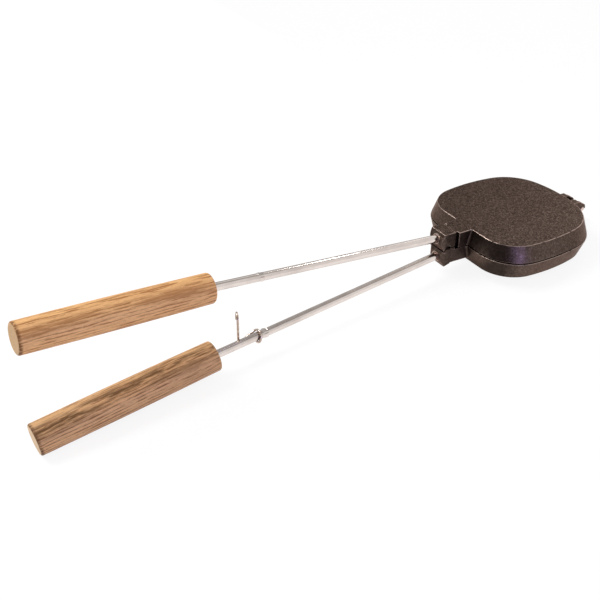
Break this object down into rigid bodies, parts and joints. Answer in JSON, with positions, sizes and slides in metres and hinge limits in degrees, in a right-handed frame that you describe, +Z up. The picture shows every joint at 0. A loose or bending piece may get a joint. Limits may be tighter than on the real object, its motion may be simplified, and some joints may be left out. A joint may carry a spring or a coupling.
{
  "type": "pie iron",
  "caption": "Hinged pair of hollow cast-iron plates on long steel rods with turned wooden handles and a wire latch, for toasting filled bread over a fire.",
  "frame": {"origin": "on the surface that the iron stands on, under the middle of its bounding box", "axes": "+X runs along the iron from the handles to the hinge, +Y across it to the left seen from the handles, +Z up; the iron stands on its lower handle and the far edge of its lower plate, so its plates lean 5.4 degrees down towards the hinge"},
  "size_m": [0.6162, 0.1472, 0.1338],
  "materials": {
    "cast_iron": "dark brown-black seasoned iron, fine sandy casting skin",
    "pin_steel": "dull dark steel",
    "rod_steel": "bright plated steel",
    "oak": "oiled oak with fine dark pores",
    "wire_steel": "dull drawn wire"
  },
  "bodies": {
    "lower_half": {"lower_plate": "cast_iron", "lower_rod": "rod_steel", "lower_handle": "oak", "hinge_pin": "pin_steel"},
    "upper_half": {"upper_plate": "cast_iron", "upper_rod": "rod_steel", "upper_handle": "oak"},
    "latch": {"latch_hook": "wire_steel"}
  },
  "joints": [
    {"name": "plate_hinge", "type": "hinge", "parent": "lower_half", "child": "upper_half", "pos_m": [0.30347, 0, 0.01271], "axis": [0, 1, 0], "range_deg": [0, 180]},
    {"name": "latch_swing", "type": "hinge", "parent": "lower_half", "child": "latch", "pos_m": [-0.0897, 0, 0.02132], "axis": [-0.9999, 0, -0.0126], "continuous": true}
  ]
}
